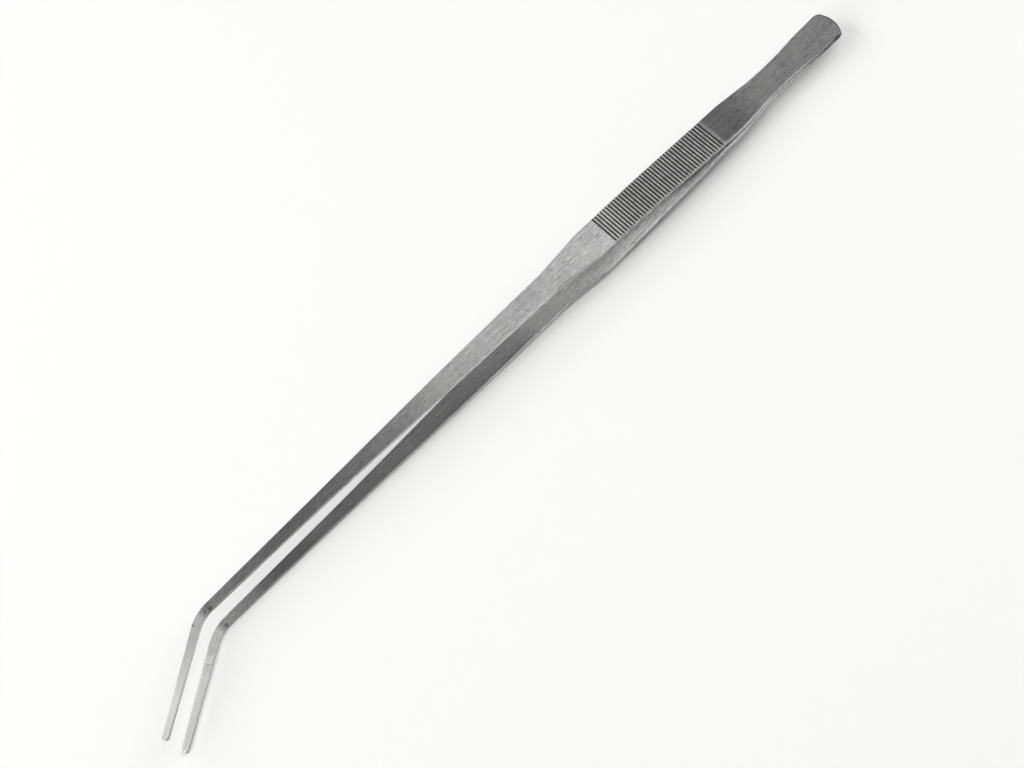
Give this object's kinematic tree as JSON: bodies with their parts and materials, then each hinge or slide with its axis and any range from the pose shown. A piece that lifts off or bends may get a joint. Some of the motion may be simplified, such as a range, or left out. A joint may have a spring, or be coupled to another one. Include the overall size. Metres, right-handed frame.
{
  "type": "planting tweezers",
  "caption": "Very long brushed-steel tweezers with ribbed grips, slender shanks and serrated tips bent sideways, for planting in aquariums.",
  "frame": {"origin": "on the surface that the lower arm's flat shank lies on, under the centre of the whole tool's box", "axes": "+X from the butt of the heel to the tips, +Y the side that the tips bend to, +Z from the lower arm to the upper arm"},
  "size_m": [0.4802, 0.05, 0.0208],
  "materials": {
    "arm_steel": "lengthwise brushed stainless steel",
    "weld_steel": "fused stainless steel, hidden between the arms"
  },
  "bodies": {
    "heel": {"upper_arm_root": "arm_steel", "lower_arm_root": "arm_steel", "weld_nuggets": "weld_steel"},
    "upper_arm": {"upper_arm_blade": "arm_steel"},
    "lower_arm": {"lower_arm_blade": "arm_steel"}
  },
  "joints": [
    {"name": "upper_arm_flex", "type": "hinge", "parent": "heel", "child": "upper_arm", "pos_m": [-0.16807, -0.0146, 0.01086], "axis": [0, 1, 0], "range_deg": [0, 1.21], "stiffness_Nm_per_rad": 28, "springref_deg": -0.46},
    {"name": "lower_arm_flex", "type": "hinge", "parent": "heel", "child": "lower_arm", "pos_m": [-0.16807, -0.0146, 0.00989], "axis": [0, -1, 0], "range_deg": [0, 1.21], "stiffness_Nm_per_rad": 28, "springref_deg": -0.46}
  ],
  "couplings": [
    {"joint": "lower_arm_flex", "follows": "upper_arm_flex", "ratio": 1}
  ]
}
